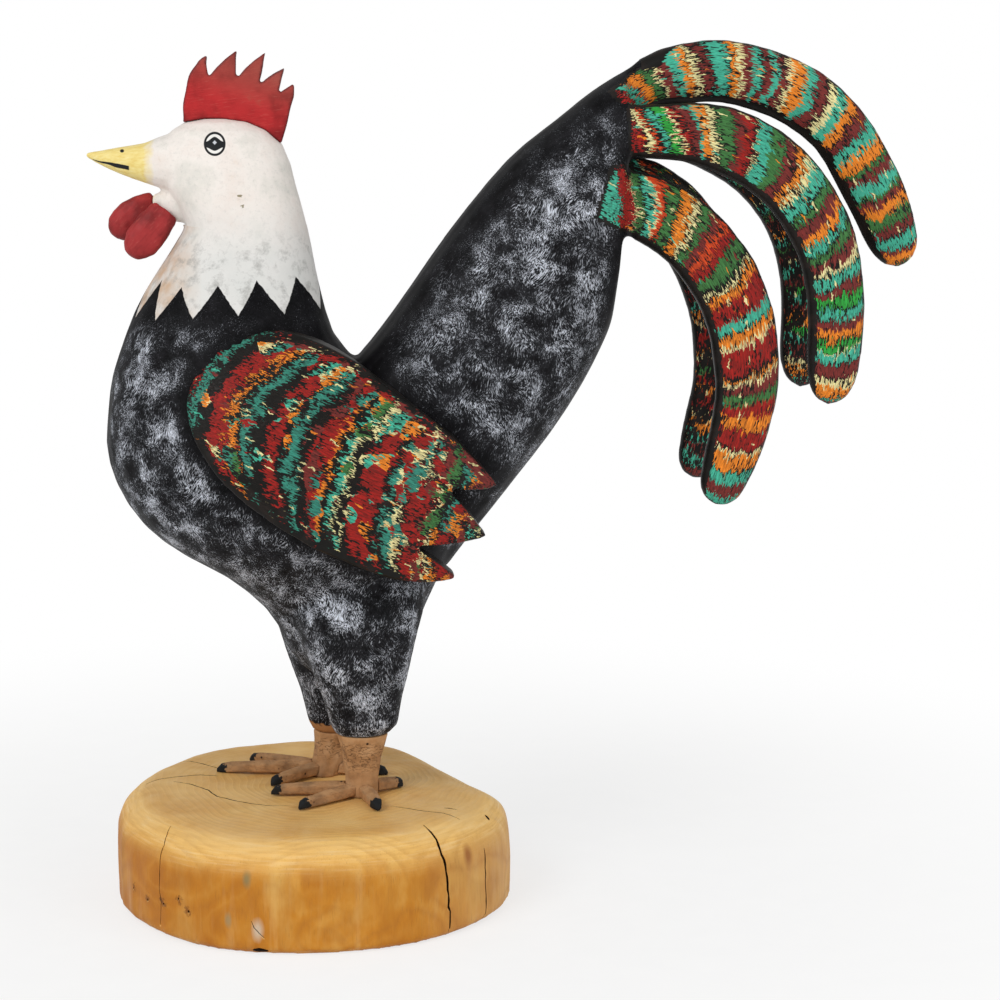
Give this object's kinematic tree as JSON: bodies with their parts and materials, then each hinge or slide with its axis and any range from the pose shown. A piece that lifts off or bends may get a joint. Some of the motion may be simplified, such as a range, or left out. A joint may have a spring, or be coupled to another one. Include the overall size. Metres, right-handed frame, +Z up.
{
  "type": "carved rooster figure",
  "caption": "Carved and painted wooden rooster with comb, wattles, wings and arching tail feathers, standing on a round slice of log; a static ornament.",
  "frame": {"origin": "centre of the flat underside of the log slice", "axes": "+Z up; the rooster faces -X and its left side is -Y"},
  "size_m": [0.5068, 0.248, 0.5256],
  "materials": {
    "log_wood": "oiled, satin",
    "charcoal_paint": "painted, matte",
    "white_paint": "painted, matte",
    "red_paint": "painted, satin",
    "banded_paint": "painted in bands, satin",
    "brown_paint": "painted, matte",
    "peg_wood": "bare"
  },
  "bodies": {
    "root": {"base": "log_wood", "body": "charcoal_paint", "head": "white_paint", "comb": "red_paint", "wattle_left": "red_paint", "wattle_right": "red_paint", "tail_block": "charcoal_paint", "wing_left": "banded_paint", "wing_right": "banded_paint", "tail_feather_top": "banded_paint", "tail_feather_mid_left": "banded_paint", "tail_feather_mid_right": "banded_paint", "tail_feather_low_left": "banded_paint", "tail_feather_low_right": "banded_paint", "shank_left": "brown_paint", "toe_left_middle": "brown_paint", "toe_left_outer": "brown_paint", "toe_left_inner": "brown_paint", "toe_left_rear": "brown_paint", "shank_right": "brown_paint", "toe_right_middle": "brown_paint", "toe_right_outer": "brown_paint", "toe_right_inner": "brown_paint", "toe_right_rear": "brown_paint", "neck_peg": "peg_wood", "leg_peg_left": "peg_wood", "leg_peg_right": "peg_wood", "tail_peg_upper": "peg_wood", "tail_peg_lower": "peg_wood", "comb_peg_front": "peg_wood", "comb_peg_rear": "peg_wood", "wattle_peg_left": "peg_wood", "wattle_peg_right": "peg_wood", "wing_peg_left_front": "peg_wood", "wing_peg_left_rear": "peg_wood", "wing_peg_right_front": "peg_wood", "wing_peg_right_rear": "peg_wood", "feather_peg_top": "peg_wood", "feather_peg_mid_left": "peg_wood", "feather_peg_mid_right": "peg_wood", "feather_peg_low_left": "peg_wood", "feather_peg_low_right": "peg_wood"}
  },
  "joints": []
}
